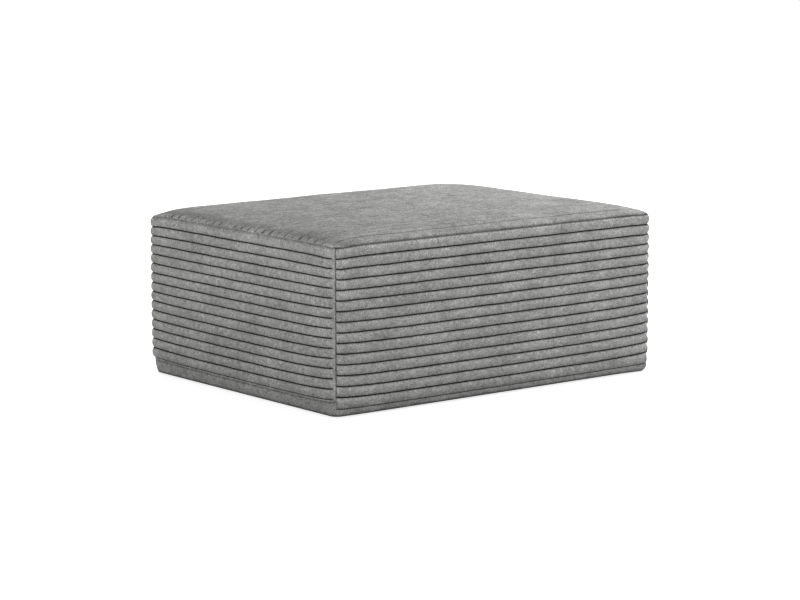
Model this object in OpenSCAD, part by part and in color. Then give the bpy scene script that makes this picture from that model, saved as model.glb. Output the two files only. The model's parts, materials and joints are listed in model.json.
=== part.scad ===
// Rectangular upholstered pouf in wide-rib corduroy.
// Millimetres, +Z up, origin on the floor under the middle. The long front faces -Y.

/* [Overall] */
// Length over the ribs of the short panels
pouf_len = 1030; // [800:5:1300]
// Depth over the ribs of the long panels
pouf_depth = 800; // [600:5:1000]
// Height of the seam that joins the side panels to the top panel
seam_h = 412.5; // [380:0.5:460]
// Radius of the upright corners, over the ribs
corner_r = 35; // [32:1:45]

/* [Corduroy] */
// Thickness of the cloth under its ribs
cloth_t = 2; // [1:0.25:3]
// Height of a rib over its grooves on the side panels
rib_h = 6; // [3:0.5:8]
// Rib spacing on the long panels
long_pitch = 26; // [20:0.25:32]
// Rib spacing on the short panels
short_pitch = 24.65; // [20:0.05:32]
// Flat facets that round one rib of a side panel
rib_facets = 6; // [4:1:8]
// Flat strip between the highest groove and the top seam
seam_tuck = 1.6; // [1:0.1:3]

/* [Top panel] */
// Rise of the grooves in the middle of the top panel over its seam
crown = 18.5; // [12:0.5:28]
// Width over which the panel rises from its seam to the level middle
shoulder_w = 140; // [100:5:180]
// Fullness of that rise, from 1.5 for a slack panel to 2.5 for a tight one
fullness = 1.8; // [1.5:0.1:2.5]
// Number of ribs, which run along the length
top_ribs = 26; // [20:1:28]
// Height of a rib over its grooves on the top panel
top_rib_h = 2.5; // [1:0.25:4]
// Distance over which a rib fades out into the end seam
rib_fade = 12; // [8:1:16]

/* [Foot of the cover] */
// Least height of the plain band under the ribs of the long panels
long_band_h = 12; // [8:1:40]
// Least height of the plain band under the ribs of the short panels
short_band_h = 30; // [8:1:60]
// How far the long panels draw in at the foot
long_draw = 3; // [0.5:0.5:6]
// How far the short panels draw in at the foot
short_draw = 6.5; // [0.5:0.5:14]
// Height at which the long panels start to draw in
long_draw_h = 30; // [20:1:60]
// Height at which the short panels start to draw in
short_draw_h = 55; // [30:1:90]
// Radius of the edge where the cloth turns under the frame
foot_r = 3; // [2:0.5:4]
// Width of the hem turned under the frame
hem_w = 15; // [12:1:17]

/* [Padding] */
// Gap between soft layers
soft_gap = 0.3; // [0.2:0.05:0.5]
// Least thickness of the foam sheets on the sides
side_foam_t = 10; // [6:1:16]
// Thickness of the wadding under the top panel
wadding_t = 10; // [6:1:16]
// Thickness of the top foam block at its edge
foam_edge_t = 90; // [60:5:120]
// Thickness of the felt under the foam block
felt_t = 3; // [2:0.5:5]

/* [Webbing] */
// Thickness of a strap
web_t = 1.6; // [1:0.2:2.4]
// Width of a strap
web_w = 50; // [40:5:60]
// Straps that run along the length
long_webs = 5; // [3:1:6]
// Straps that run across the depth
cross_webs = 7; // [5:1:9]
// Flat stretch of a strap on each side of a crossing
web_margin = 3; // [2:1:6]
// Distance from the end of a strap to the outer face of its rail
web_end_gap = 4; // [2:1:8]

/* [Frame] */
// Thickness of the rails and stiles
rail_t = 22; // [18:1:28]
// Height of the rails
rail_h = 60; // [50:5:80]
// Side of a square corner post
post_w = 45; // [40:1:60]
// Width of the stiles in the middle of the long sides
stile_w = 45; // [40:5:70]
// Thickness of the fibreboard that closes the sides
board_t = 3; // [2:0.5:5]

/* [Fasteners] */
// Length of a frame screw
screw_len = 80; // [70:5:90]
// Shank radius of a frame screw
screw_r = 2.25; // [2:0.25:3]
// Head radius of a frame screw
screw_head_r = 4.5; // [4:0.25:5.5]
// Depth of the countersunk head
screw_head_h = 3; // [2:0.5:4]
// Length of a screw's point
screw_tip = 6; // [4:1:8]
// From a long rail's edge to its nearer screw
screw_edge = 11; // [9:1:12]
// Step from a long rail's screw to the short rail's screw beside it
screw_step = 12; // [10:1:13]
// Radial clearance round screws and nails
screw_gap = 0.1; // [0.05:0.05:0.2]

/* [Glides and dust cover] */
// Height of a glide under the cover
glide_h = 3; // [3:0.5:8]
// Radius of a glide
glide_r = 16; // [14:1:20]
// Radius of the domed edge of a glide
glide_edge_r = 2; // [1:0.5:3]
// Radius of the boss that seats a glide on its post
boss_r = 6; // [5:0.5:8]
// Shank radius of a glide nail
nail_r = 1.6; // [1.2:0.2:2]
// Depth of a glide nail in its post
nail_depth = 22; // [15:1:30]
// Radius of the nail's head
nail_head_r = 4; // [3:0.5:5]
// Thickness of the nail's head
nail_head_h = 1; // [0.8:0.1:1.4]
// Depth of the nail's head inside the glide
nail_recess = 1; // [0.5:0.25:1.5]
// Thickness of the dust cover
dust_t = 0.5; // [0.3:0.1:1]
// Strip of hem that the dust cover leaves bare
dust_setback = 4; // [2:1:6]

/* [Hidden] */

corduroy = [0.50, 0.50, 0.49];
foam_colour = [0.93, 0.89, 0.72];
wadding_colour = [0.95, 0.95, 0.94];
felt_colour = [0.55, 0.53, 0.50];
web_colour = [0.16, 0.16, 0.17];
timber = [0.82, 0.68, 0.47];
fibreboard = [0.60, 0.45, 0.30];
steel = [0.70, 0.71, 0.72];
plastic = [0.10, 0.10, 0.11];
dust_colour = [0.09, 0.09, 0.10];

$fn = 64;

// Heights, from the floor up
hem_z = glide_h + dust_t;
frame_z = hem_z + cloth_t;
wadding_top_z = seam_h - soft_gap;
foam_top_z = wadding_top_z - wadding_t - soft_gap;
deck_z = foam_top_z - foam_edge_t;
rail_top_z = deck_z - felt_t - 1.5 * web_t - soft_gap / 2;

// Insets, from the plane over the ribs inwards
groove_in = rib_h;
cloth_in = groove_in + cloth_t;
foam_in = cloth_in + soft_gap;
foam_space = max(side_foam_t, short_draw, long_draw);
frame_in = foam_in + foam_space + soft_gap;
timber_in = frame_in + board_t;

// The upright axes of the rounded corners, and straight lengths between them
axis_x = pouf_len / 2 - corner_r;
axis_y = pouf_depth / 2 - corner_r;
timber_edge = timber_in - corner_r;
post_inner = timber_edge + post_w;

// Outlines as length, depth and corner radius
function inset_outline(gap) = [pouf_len - 2 * gap, pouf_depth - 2 * gap, corner_r - gap];
cover_outline = inset_outline(groove_in);
lining_outline = inset_outline(cloth_in);
foam_outline = inset_outline(foam_in);
frame_outline = inset_outline(frame_in);

// A rounded rectangle on the floor plane
module rounded_plate(outline, z, t) {
    ax = outline[0] / 2 - outline[2];
    ay = outline[1] / 2 - outline[2];
    translate([0, 0, z])
        linear_extrude(t)
            union() {
                square([2 * ax, outline[1]], center = true);
                square([outline[0], 2 * ay], center = true);
                for (x = [-ax, ax])
                    for (y = [-ay, ay])
                        translate([x, y]) circle(outline[2]);
            }
}

// Carries a profile along one side and round half of each corner, to the corner seams.
// The profile's x is the distance out from the corner's axis and its y is the height.
module along_side(span) {
    translate([span / 2, 0, 0])
        rotate([90, 0, -90])
            linear_extrude(span) children();
    for (end = [0, 1])
        mirror([end, 0, 0])
            translate([span / 2, 0, 0])
                rotate([0, 0, 270])
                    rotate_extrude(angle = 45) children();
}

// The four sides, each from its own straight stretch that faces -Y
module on_front() {
    translate([0, -axis_y, 0]) along_side(2 * axis_x) children();
}
module on_back() {
    rotate([0, 0, 180]) on_front() children();
}
module on_left() {
    translate([-axis_x, 0, 0])
        rotate([0, 0, -90])
            along_side(2 * axis_y) children();
}
module on_right() {
    rotate([0, 0, 180]) on_left() children();
}

// One corner's own axes, at the corner's upright axis, with +X and +Y pointing into the pouf
module at_corner(side_x, side_y) {
    translate([side_x * axis_x, side_y * axis_y, 0])
        mirror([side_x > 0 ? 1 : 0, 0, 0])
            mirror([0, side_y > 0 ? 1 : 0, 0])
                children();
}

// SIDE PANELS

// How far a panel is drawn in at a height
function drawn_in(z, draw, draw_h) =
    z >= draw_h ? 0 : draw * pow((draw_h - z) / (draw_h - hem_z), 2);

// The ribbed outer line of a side panel, from its lowest groove up to its highest
function rib_line(pitch, count, draw, draw_h) = [
    for (i = [0 : count - 1])
        for (k = [0 : rib_facets - 1])
            let (
                turn = 180 * k / rib_facets,
                z = seam_h - seam_tuck - pitch * (count - i) + pitch * (1 - cos(turn)) / 2
            )
            [corner_r - groove_in + rib_h * sin(turn) - drawn_in(z, draw, draw_h), z]
];

// Either side of the plain cloth between two heights, inset from the plane over the ribs
function drawn_line(inset, from_z, to_z, steps, draw, draw_h) = [
    for (k = [0 : steps])
        let (z = from_z + (to_z - from_z) * k / steps)
        [corner_r - inset - drawn_in(z, draw, draw_h), z]
];

// Cross-section of a side panel with its hem
module panel_profile(pitch, band_h, draw, draw_h) {
    count = floor((seam_h - seam_tuck - hem_z - band_h) / pitch);
    ribs_z = seam_h - seam_tuck - pitch * count;
    foot = corner_r - groove_in - draw;
    hem_end = max(foot - hem_w, 1);
    polygon(concat(
        [[hem_end, hem_z]],
        [for (k = [0 : 4]) [foot - foot_r + foot_r * sin(22.5 * k), hem_z + foot_r - foot_r * cos(22.5 * k)]],
        drawn_line(groove_in, hem_z + 2 * foot_r, ribs_z - 1, 4, draw, draw_h),
        rib_line(pitch, count, draw, draw_h),
        [[corner_r - groove_in, seam_h - seam_tuck]],
        [[corner_r - groove_in, seam_h]],
        [[corner_r - cloth_in, seam_h]],
        drawn_line(cloth_in, draw_h, frame_z, 6, draw, draw_h),
        [[hem_end, frame_z]]
    ));
}

module long_profile() {
    panel_profile(long_pitch, long_band_h, long_draw, long_draw_h);
}

module short_profile() {
    panel_profile(short_pitch, short_band_h, short_draw, short_draw_h);
}

module front_cover() {
    color(corduroy) on_front() long_profile();
}

module back_cover() {
    color(corduroy) on_back() long_profile();
}

module left_cover() {
    color(corduroy) on_left() short_profile();
}

module right_cover() {
    color(corduroy) on_right() short_profile();
}

// CROWNED LAYERS

// How far a rounded corner cuts into a line that lies s inside the outline's edge
function corner_cut(s, r) = s >= r ? 0 : r - sqrt(r * r - pow(r - max(s, 0), 2));

function half_len(y, outline) = outline[0] / 2 - corner_cut(outline[1] / 2 - abs(y), outline[2]);

function half_depth(x, outline) = outline[1] / 2 - corner_cut(outline[0] / 2 - abs(x), outline[2]);

// A full shoulder, steep from 0 at the seam and level at 1 where it meets the middle
function shoulder(s) =
    s >= shoulder_w ? 1 : pow(1 - pow(1 - max(s, 0) / shoulder_w, fullness), 1 / fullness);

function dome(x, y, outline, rise) =
    rise
    * shoulder(half_len(y, outline) - abs(x))
    * shoulder(half_depth(x, outline) - abs(y));

// Facets across a rib, and the last row of points
rib_rows = 3;
last_row = rib_rows * top_ribs;

// Where a row lies across the depth
function row_y(row, depth) = depth * (row / last_row - 0.5);

// Distances of the columns from the ends of a row
column_in = [0, 6, 24, 66, shoulder_w];
columns = 2 * len(column_in);

function column_x(c, y, outline) =
    c < len(column_in)
    ? column_in[c] - half_len(y, outline)
    : half_len(y, outline) - column_in[columns - 1 - c];

// Height of the ribbed surface over the plain dome
function rib_rise(row, x, y, outline) =
    let (in = min(half_len(y, outline) - abs(x), rib_fade) / rib_fade)
    top_rib_h * sqrt(1 - pow(1 - in, 2)) * sqrt(1 - pow(2 * (row % rib_rows) / rib_rows - 1, 2));

all_rows = [for (row = [0 : last_row]) row];
// A smooth layer needs a row at each groove, and more beside the front and the back seams
smooth_rows = [for (row = all_rows) if (row % rib_rows == 0 || row < rib_rows || row > last_row - rib_rows) row];

function surface_points(rows, outline, z, rise, ribbed) = [
    for (row = rows)
        let (y = row_y(row, outline[1]))
        for (c = [0 : columns - 1])
            let (x = column_x(c, y, outline))
            [x, y, z + dome(x, y, outline, rise) + (ribbed ? rib_rise(row, x, y, outline) : 0)]
];

// Two triangles a cell, seen from above where up is true
function surface_faces(count, start, up) = [
    for (i = [0 : count - 2])
        for (c = [0 : columns - 2])
            let (
                a = start + i * columns + c,
                b = a + 1,
                d = a + columns,
                e = d + 1
            )
            each up ? [[a, d, e], [a, e, b]] : [[a, e, d], [a, b, e]]
];

// Numbers of the points round a surface's edge: front, right, back and left
function rim(count, start) = concat(
    [for (c = [0 : columns - 1]) start + c],
    [for (i = [1 : count - 1]) start + i * columns + columns - 1],
    [for (c = [columns - 2 : -1 : 0]) start + (count - 1) * columns + c],
    [for (i = [count - 2 : -1 : 1]) start + i * columns]
);

// A wall from one rim down to another with as many points
function wall_faces(upper, lower) = [
    for (i = [0 : len(upper) - 1])
        let (j = (i + 1) % len(upper))
        each [[upper[i], upper[j], lower[j]], [upper[i], lower[j], lower[i]]]
];

// The flat strip between a ribbed rim and the smooth rim inside it, on one end of the panel
function end_strip(column, turn) = [
    for (i = [0 : len(smooth_rows) - 2])
        let (
            first = smooth_rows[i],
            steps = smooth_rows[i + 1] - first,
            inner = len(all_rows) * columns + i * columns + column,
            half = ceil(steps / 2)
        )
        each concat(
            [for (k = [0 : half - 1]) turned([
                (first + k) * columns + column, (first + k + 1) * columns + column, inner
            ], turn)],
            [turned([(first + half) * columns + column, inner + columns, inner], turn)],
            steps > half ? [for (k = [half : steps - 1]) turned([
                (first + k) * columns + column, (first + k + 1) * columns + column, inner + columns
            ], turn)] : []
        )
];

function turned(face, turn) = turn ? [face[2], face[1], face[0]] : face;

// The flat strip between the two rims along the front or the back
function side_strip(row_start, inner_start, turn) = [
    for (c = [0 : columns - 2])
        each [
            turned([row_start + c, inner_start + c + 1, row_start + c + 1], turn),
            turned([row_start + c, inner_start + c, inner_start + c + 1], turn)
        ]
];

module top_cover() {
    outer = surface_points(all_rows, cover_outline, seam_h, crown, true);
    inner = surface_points(smooth_rows, lining_outline, seam_h, crown - cloth_t, false);
    inner_start = len(outer);
    back_row = last_row * columns;
    back_inner = inner_start + (len(smooth_rows) - 1) * columns;
    color(corduroy)
        polyhedron(
            concat(outer, inner),
            concat(
                surface_faces(len(all_rows), 0, true),
                surface_faces(len(smooth_rows), inner_start, false),
                end_strip(0, true),
                end_strip(columns - 1, false),
                side_strip(0, inner_start, true),
                side_strip(back_row, back_inner, false)
            )
        );
}

module top_wadding() {
    rise = crown - cloth_t;
    count = len(smooth_rows);
    upper = surface_points(smooth_rows, foam_outline, wadding_top_z, rise, false);
    lower = surface_points(smooth_rows, foam_outline, wadding_top_z - wadding_t, rise, false);
    color(wadding_colour)
        polyhedron(
            concat(upper, lower),
            concat(
                surface_faces(count, 0, true),
                surface_faces(count, len(upper), false),
                wall_faces(rim(count, 0), rim(count, len(upper)))
            )
        );
}

module top_foam() {
    count = len(smooth_rows);
    upper = surface_points(smooth_rows, foam_outline, foam_top_z, crown - cloth_t, false);
    upper_rim = rim(count, 0);
    base = [for (i = upper_rim) [upper[i][0], upper[i][1], deck_z]];
    base_rim = [for (i = [0 : len(base) - 1]) len(upper) + i];
    middle = len(upper) + len(base);
    color(foam_colour)
        polyhedron(
            concat(upper, base, [[0, 0, deck_z]]),
            concat(
                surface_faces(count, 0, true),
                wall_faces(upper_rim, base_rim),
                [for (i = [0 : len(base) - 1]) [base_rim[i], base_rim[(i + 1) % len(base)], middle]]
            )
        );
}

// SIDE PADDING

// The foam stops where the cloth starts to draw in, and the foam block rests on its upper edge
module foam_profile(foot_z) {
    translate([corner_r - foam_in - foam_space, foot_z])
        square([foam_space, deck_z - foot_z]);
}

module front_foam() {
    color(foam_colour) on_front() foam_profile(long_draw_h);
}

module back_foam() {
    color(foam_colour) on_back() foam_profile(long_draw_h);
}

module left_foam() {
    color(foam_colour) on_left() foam_profile(short_draw_h);
}

module right_foam() {
    color(foam_colour) on_right() foam_profile(short_draw_h);
}

// SPRINGING

module spring_felt() {
    color(felt_colour) rounded_plate(frame_outline, deck_z - felt_t, felt_t);
}

function strap_place(i, count, clear_span) = clear_span * ((i + 0.5) / count - 0.5);

// Centre line of a strap from rail to rail: it passes over and under the straps that it crosses
function strap_line(half_span, crossings, clear_span, over) = concat(
    [[-half_span, 0]],
    [for (i = [0 : crossings - 1])
        let (
            side = (i % 2 == 0) == over ? 1 : -1,
            level = side * (web_t + soft_gap) / 2,
            flat = web_w / 2 + web_margin
        )
        for (edge = [-flat, flat])
            [strap_place(i, crossings, clear_span) + edge, level]],
    [[half_span, 0]]
);

// A strap along X with its flat ends on the rails
module strap(half_span, crossings, clear_span, over) {
    rail_edge = clear_span / 2 + 1;
    line = strap_line(half_span, crossings, clear_span, over);
    path = concat([line[0], [-rail_edge, 0]], [for (i = [1 : len(line) - 2]) line[i]], [[rail_edge, 0], line[len(line) - 1]]);
    translate([0, web_w / 2, rail_top_z + web_t / 2])
        rotate([90, 0, 0])
            linear_extrude(web_w)
                polygon(concat(
                    [for (p = path) [p[0], p[1] - web_t / 2]],
                    [for (i = [len(path) - 1 : -1 : 0]) [path[i][0], path[i][1] + web_t / 2]]
                ));
}

// Clear spans between the inner faces of the rails
span_x = pouf_len - 2 * (timber_in + rail_t);
span_y = pouf_depth - 2 * (timber_in + rail_t);

module lengthwise_webbing() {
    reach = pouf_len / 2 - timber_in - web_end_gap;
    color(web_colour)
        for (i = [0 : long_webs - 1])
            translate([0, strap_place(i, long_webs, span_y), 0])
                strap(reach, cross_webs, span_x, i % 2 == 0);
}

module crosswise_webbing() {
    reach = pouf_depth / 2 - timber_in - web_end_gap;
    color(web_colour)
        for (i = [0 : cross_webs - 1])
            translate([strap_place(i, cross_webs, span_x), 0, 0])
                rotate([0, 0, 90])
                    strap(reach, long_webs, span_y, i % 2 == 1);
}

// FASTENERS

// A countersunk screw along +X with its head at the origin, or the hole that it fills
module screw(grow) {
    head_x = grow > 0 ? -1 : 0;
    rotate([0, 90, 0])
        rotate_extrude()
            polygon([
                [0, head_x],
                [screw_head_r + grow, head_x],
                [screw_head_r + grow, 0],
                [screw_r + grow, screw_head_h],
                [screw_r + grow, screw_len - screw_tip],
                [0, screw_len + grow]
            ]);
}

// Two screws through a post into the end of the rail that lies along +X
module rail_screws(rail_z, edge, grow) {
    for (z = [rail_z + edge, rail_z + rail_h - edge])
        translate([timber_edge, timber_edge + rail_t / 2, z]) screw(grow);
}

// All the screws of one corner. The short rail's screws pass between the long rail's
module corner_screws(grow) {
    for (rail_z = [frame_z, rail_top_z - rail_h]) {
        rail_screws(rail_z, screw_edge, grow);
        mirror([1, -1, 0]) rail_screws(rail_z, screw_edge + screw_step, grow);
    }
}

module frame_screws() {
    color(steel)
        for (side_x = [-1, 1])
            for (side_y = [-1, 1])
                at_corner(side_x, side_y) corner_screws(0);
}

// FRAME

// A post with a rounded outer corner. Its two outer faces are set back for the boards
module corner_post(side_x, side_y) {
    nose_r = corner_r - frame_in;
    color(timber)
        at_corner(side_x, side_y)
            difference() {
                translate([0, 0, frame_z])
                    linear_extrude(rail_top_z - frame_z)
                        union() {
                            intersection() {
                                circle(nose_r);
                                translate([-nose_r, -nose_r]) square(nose_r);
                            }
                            translate([0, timber_edge]) square([post_inner, post_w]);
                            translate([timber_edge, 0]) square([post_w, post_inner]);
                        }
                corner_screws(screw_gap);
                glide_nail(screw_gap);
            }
}

module front_left_post() {
    corner_post(-1, -1);
}

module front_right_post() {
    corner_post(1, -1);
}

module back_left_post() {
    corner_post(-1, 1);
}

module back_right_post() {
    corner_post(1, 1);
}

// A rail between two posts, on the front and along +X
module long_rail(rail_z) {
    rail_len = 2 * (axis_x - post_inner);
    color(timber)
        difference() {
            translate([-rail_len / 2, timber_in - pouf_depth / 2, rail_z])
                cube([rail_len, rail_t, rail_h]);
            for (side_x = [-1, 1])
                at_corner(side_x, -1) rail_screws(rail_z, screw_edge, screw_gap);
        }
}

// A rail between two posts, on the left and along +Y
module short_rail(rail_z) {
    rail_len = 2 * (axis_y - post_inner);
    color(timber)
        difference() {
            translate([timber_in - pouf_len / 2, -rail_len / 2, rail_z])
                cube([rail_t, rail_len, rail_h]);
            for (side_y = [-1, 1])
                at_corner(-1, side_y)
                    mirror([1, -1, 0]) rail_screws(rail_z, screw_edge + screw_step, screw_gap);
        }
}

module front_top_rail() {
    long_rail(rail_top_z - rail_h);
}

module back_top_rail() {
    mirror([0, 1, 0]) front_top_rail();
}

module left_top_rail() {
    short_rail(rail_top_z - rail_h);
}

module right_top_rail() {
    mirror([1, 0, 0]) left_top_rail();
}

module front_bottom_rail() {
    long_rail(frame_z);
}

module back_bottom_rail() {
    mirror([0, 1, 0]) front_bottom_rail();
}

module left_bottom_rail() {
    short_rail(frame_z);
}

module right_bottom_rail() {
    mirror([1, 0, 0]) left_bottom_rail();
}

module front_stile() {
    foot_z = frame_z + rail_h;
    color(timber)
        translate([-stile_w / 2, timber_in - pouf_depth / 2, foot_z])
            cube([stile_w, rail_t, rail_top_z - rail_h - foot_z]);
}

module back_stile() {
    mirror([0, 1, 0]) front_stile();
}

module floor_stretcher() {
    color(timber)
        translate([-rail_t / 2, -span_y / 2, frame_z])
            cube([rail_t, span_y, rail_h]);
}

// A board between the rounded corners of two posts
module front_board() {
    color(fibreboard)
        translate([-axis_x, frame_in - pouf_depth / 2, frame_z])
            cube([2 * axis_x, board_t, rail_top_z - frame_z]);
}

module back_board() {
    mirror([0, 1, 0]) front_board();
}

module left_board() {
    color(fibreboard)
        translate([frame_in - pouf_len / 2, -axis_y, frame_z])
            cube([board_t, 2 * axis_y, rail_top_z - frame_z]);
}

module right_board() {
    mirror([1, 0, 0]) left_board();
}

// UNDERSIDE

// The middle of a post's foot, in its corner's own axes
post_middle = timber_edge + post_w / 2;

// A nail up through a glide into its post, or the hole that it fills
module glide_nail(grow) {
    head_z = grow > 0 ? -1 : nail_recess;
    shank_z = nail_recess + nail_head_h;
    translate([post_middle, post_middle, 0])
        rotate_extrude()
            polygon([
                [0, head_z],
                [nail_head_r + grow, head_z],
                [nail_head_r + grow, shank_z + grow],
                [nail_r + grow, shank_z + grow],
                [nail_r + grow, frame_z + nail_depth - 2 * nail_r],
                [0, frame_z + nail_depth + grow]
            ]);
}

// A round glide with a domed edge, and a boss through the dust cover up to the post
module glide() {
    translate([post_middle, post_middle, 0])
        rotate_extrude()
            polygon(concat(
                [[0, 0]],
                [for (k = [0 : 4])
                    [glide_r - glide_edge_r + glide_edge_r * sin(22.5 * k),
                     glide_edge_r - glide_edge_r * cos(22.5 * k)]],
                [[glide_r, glide_h], [boss_r, glide_h], [boss_r, frame_z], [0, frame_z]]
            ));
}

module glides() {
    color(plastic)
        for (side_x = [-1, 1])
            for (side_y = [-1, 1])
                at_corner(side_x, side_y)
                    difference() {
                        glide();
                        glide_nail(screw_gap);
                    }
}

module glide_nails() {
    color(steel)
        for (side_x = [-1, 1])
            for (side_y = [-1, 1])
                at_corner(side_x, side_y) glide_nail(0);
}

// A thin sheet over the hem's inner edge, with a hole for each glide's boss
module dust_cover() {
    dust_in = groove_in + max(long_draw, short_draw) + foot_r + dust_setback;
    color(dust_colour)
        difference() {
            rounded_plate(inset_outline(dust_in), glide_h, dust_t);
            for (side_x = [-1, 1])
                for (side_y = [-1, 1])
                    at_corner(side_x, side_y)
                        translate([post_middle, post_middle, glide_h - 1])
                            cylinder(r = boss_r + soft_gap, h = dust_t + 2);
        }
}

top_cover();
front_cover();
back_cover();
left_cover();
right_cover();
top_wadding();
top_foam();
front_foam();
back_foam();
left_foam();
right_foam();
spring_felt();
lengthwise_webbing();
crosswise_webbing();
front_top_rail();
back_top_rail();
left_top_rail();
right_top_rail();
front_bottom_rail();
back_bottom_rail();
left_bottom_rail();
right_bottom_rail();
front_left_post();
front_right_post();
back_left_post();
back_right_post();
front_stile();
back_stile();
floor_stretcher();
front_board();
back_board();
left_board();
right_board();
frame_screws();
dust_cover();
glides();
glide_nails();
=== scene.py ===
"""Large rectangular pouf in wide-rib corduroy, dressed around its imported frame.

Metres, +Z up, origin on the floor under the middle. The long front faces -Y.

A layer's shape is its half length, its half depth and the radius of its corners. Uneven cloth
is written as a height times noise(place / size of a bump, ..., seed).
"""

import json
import math
from typing import NamedTuple

import bpy
import numpy as np
from mathutils import Matrix, Vector


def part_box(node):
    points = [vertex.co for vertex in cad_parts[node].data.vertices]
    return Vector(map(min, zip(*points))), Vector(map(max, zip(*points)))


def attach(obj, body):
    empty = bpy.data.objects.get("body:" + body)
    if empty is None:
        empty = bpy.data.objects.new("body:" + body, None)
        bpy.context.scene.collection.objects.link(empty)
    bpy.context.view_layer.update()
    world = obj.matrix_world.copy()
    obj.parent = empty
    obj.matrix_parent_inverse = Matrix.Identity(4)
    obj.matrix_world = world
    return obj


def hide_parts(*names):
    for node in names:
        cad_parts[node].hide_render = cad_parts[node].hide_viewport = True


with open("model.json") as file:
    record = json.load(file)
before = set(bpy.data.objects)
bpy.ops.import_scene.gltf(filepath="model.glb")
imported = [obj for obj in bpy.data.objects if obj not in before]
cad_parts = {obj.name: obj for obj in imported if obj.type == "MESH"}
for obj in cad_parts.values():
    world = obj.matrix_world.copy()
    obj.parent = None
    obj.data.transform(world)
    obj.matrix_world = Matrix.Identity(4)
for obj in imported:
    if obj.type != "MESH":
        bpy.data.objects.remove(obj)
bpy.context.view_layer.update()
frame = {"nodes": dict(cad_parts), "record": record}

MM = 0.001

# Sizes of the cover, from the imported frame
HALF_LEN = -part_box("left_cover")[0].x
HALF_DEPTH = -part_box("front_cover")[0].y
HEM_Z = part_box("front_cover")[0].z
SEAM_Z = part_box("front_cover")[1].z
DECK_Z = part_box("top_foam")[0].z
CORNER_R = (HALF_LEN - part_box("front_cover")[1].x) / (1 - math.sin(math.radians(45)))
AXIS_X = HALF_LEN - CORNER_R
AXIS_Y = HALF_DEPTH - CORNER_R

# The ribbed cloth, and how far its grooves and its inner face lie from a corner's axis
CLOTH_T = 2 * MM
RIB_H = 6 * MM
GROOVE_R = CORNER_R - RIB_H
LINING_R = GROOVE_R - CLOTH_T
# How far the long edges turn down into the top seam
EDGE_DROP = 2 * MM

# The crown of the top: its rise, its shoulders, and the swell of its middle
CROWN = 18.5 * MM
SHOULDER_W = 140 * MM
FULLNESS = 1.8
SWELL = 1.8 * MM
SIDE_SWELL_POWER = 0.4

# How the cover sits down at its corners: how far round them, at the seam, and inside it
DROOP_REACH = 55 * MM
SEAM_DROOP = 3.5 * MM
TOP_DROOP = 4.5 * MM
TOP_DROOP_INSIDE = 15 * MM

# Which way the four corners of a square face, in order round it
CORNERS = ((-1, -1), (1, -1), (1, 1), (-1, 1))

NOISE_CELLS = 256


def smooth(t):
    """From 0 to 1 with level ends."""
    t = np.clip(t, 0, 1)
    return t * t * (3 - 2 * t)


def bell(distance, width):
    """From 1 at no distance down to almost 0 at two widths."""
    return np.exp(-((distance / width) ** 2))


def noise(a, b, seed):
    """Smooth noise from -1 to 1 over two coordinates, about one bump to a unit."""
    grid = np.random.default_rng(seed).uniform(-1, 1, (NOISE_CELLS, NOISE_CELLS))
    a, b = np.broadcast_arrays(a, b)
    ia = np.floor(a).astype(int)
    ib = np.floor(b).astype(int)
    fa = smooth(a - ia)
    fb = smooth(b - ib)

    def corner(i, j):
        return grid[(ia + i) % NOISE_CELLS, (ib + j) % NOISE_CELLS]

    low = corner(0, 0) * (1 - fa) + corner(1, 0) * fa
    high = corner(0, 1) * (1 - fa) + corner(1, 1) * fa
    return low * (1 - fb) + high * fb


# Outlines and heights that every layer shares


def outline(inset):
    """Shape of a layer inset from the plane over the ribs."""
    return HALF_LEN - inset, HALF_DEPTH - inset, CORNER_R - inset


def corner_cut(inside, radius):
    """How far a rounded corner cuts into a line that lies inside the outline's edge."""
    inside = np.clip(inside, 0, radius)
    return radius - np.sqrt(radius**2 - (radius - inside) ** 2)


def half_len_at(y, shape):
    """Half length of a layer at a depth."""
    return shape[0] - corner_cut(shape[1] - np.abs(y), shape[2])


def half_depth_at(x, shape):
    """Half depth of a layer at a length."""
    return shape[1] - corner_cut(shape[0] - np.abs(x), shape[2])


def edge_inside(x, y, shape):
    """How far a place lies inside a layer's nearest edge."""
    return np.minimum(half_len_at(y, shape) - np.abs(x), half_depth_at(x, shape) - np.abs(y))


def shoulder(inside):
    """A full shoulder, steep from 0 at the seam and level at 1 where it meets the middle."""
    rest = 1 - np.clip(inside / SHOULDER_W, 0, 1)
    return (1 - rest**FULLNESS) ** (1 / FULLNESS)


def dome(x, y, shape, rise):
    """Height of a crown that starts from 0 at the outline, with the swell of its middle."""
    across = shoulder(half_len_at(y, shape) - np.abs(x))
    along = shoulder(half_depth_at(x, shape) - np.abs(y))
    swell_x = 1 - np.clip(np.abs(x) / HALF_LEN, 0, 1) ** 2
    swell_y = (1 - np.clip(np.abs(y) / HALF_DEPTH, 0, 1) ** 2) ** SIDE_SWELL_POWER
    return rise * across * along + SWELL * (swell_x * swell_y) * smooth(across * along)


def corner_sag(x, y):
    """From 1 at a corner of the pouf to 0 away from it."""
    gap_x = HALF_LEN - np.abs(x)
    gap_y = HALF_DEPTH - np.abs(y)
    return np.exp(-(gap_x**2 + gap_y**2) / DROOP_REACH**2)


def settled(x, y, z):
    """Height after the seam has sat down at the corners. The deck and all below it stay.

    The back left corner has sat down most, and the front right one least.
    """
    unevenness = 1 + 0.3 * (np.sign(y) - np.sign(x))
    low = SEAM_DROOP * unevenness * corner_sag(x, y)
    return z - low * smooth((z - DECK_Z) / (SEAM_Z - DECK_Z))


def top_settled(x, y, z, shape):
    """Height on a crowned layer, which also sinks inside its corners, at the back the most."""
    inside = np.maximum(edge_inside(x, y, shape), 0)
    sink = TOP_DROOP * (0.8 + 0.6 * np.sign(y)) * corner_sag(x, y)
    sink = sink * (1 - np.exp(-inside / TOP_DROOP_INSIDE))
    return settled(x, y, z) - sink


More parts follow.
